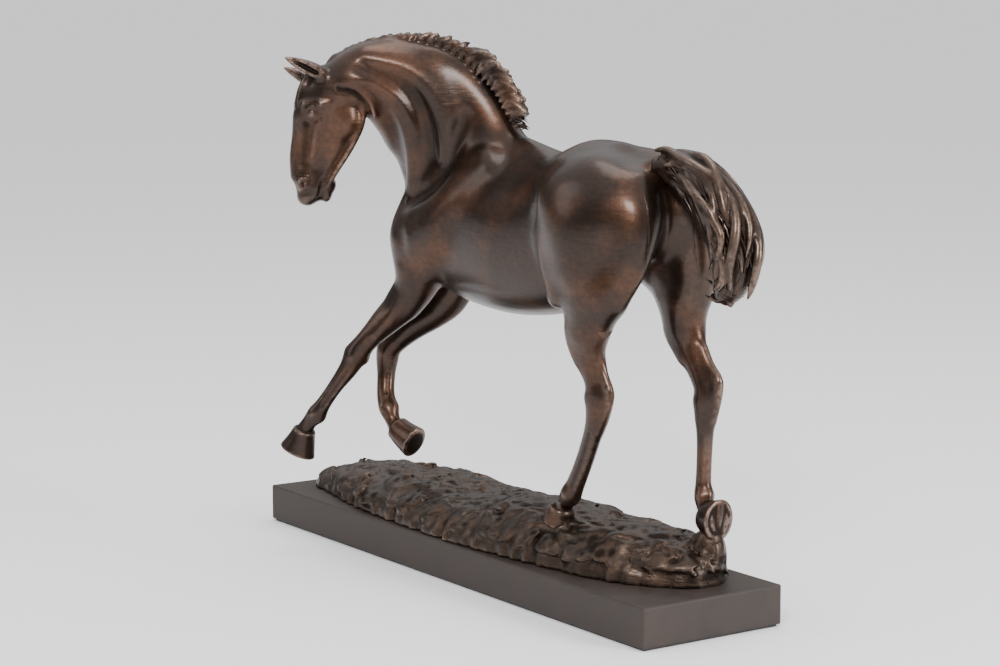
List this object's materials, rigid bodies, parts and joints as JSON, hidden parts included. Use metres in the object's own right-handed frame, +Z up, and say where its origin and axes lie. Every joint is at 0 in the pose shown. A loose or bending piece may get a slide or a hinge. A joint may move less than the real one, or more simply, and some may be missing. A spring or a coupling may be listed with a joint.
{
  "type": "bronze statuette",
  "caption": "Bronze statuette of a horse striding and turning its head, cast in pieces, on rough cast ground and a flat dark plinth.",
  "frame": {"origin": "middle of the underside of the felt, on the surface the statuette stands on", "axes": "+X along the plinth towards the horse's forehand, +Y to the horse's left, +Z up"},
  "size_m": [0.4362, 0.1591, 0.3418],
  "materials": {
    "bronze": "dark brown wax patina over bronze, satin, rubbed brighter on high spots",
    "painted_base": "dark brown grey, matt painted wood",
    "steel": "plain zinc plated",
    "felt": "black felt"
  },
  "bodies": {
    "root": {"torso_casting": "bronze", "head_and_neck_casting": "bronze", "left_foreleg_casting": "bronze", "right_foreleg_casting": "bronze", "left_hindleg_casting": "bronze", "right_hindleg_casting": "bronze", "tail_casting": "bronze", "ground_casting": "bronze", "neck_sleeve": "bronze", "plinth": "painted_base", "front_stud": "steel", "rear_stud": "steel", "front_washer": "steel", "rear_washer": "steel", "front_nut": "steel", "rear_nut": "steel", "left_foreleg_dowel": "steel", "right_foreleg_dowel": "steel", "left_hindleg_dowel": "steel", "right_hindleg_dowel": "steel", "tail_dowel": "steel", "left_hind_hoof_stud": "steel", "right_hind_hoof_stud": "steel", "felt_base": "felt"}
  },
  "joints": []
}
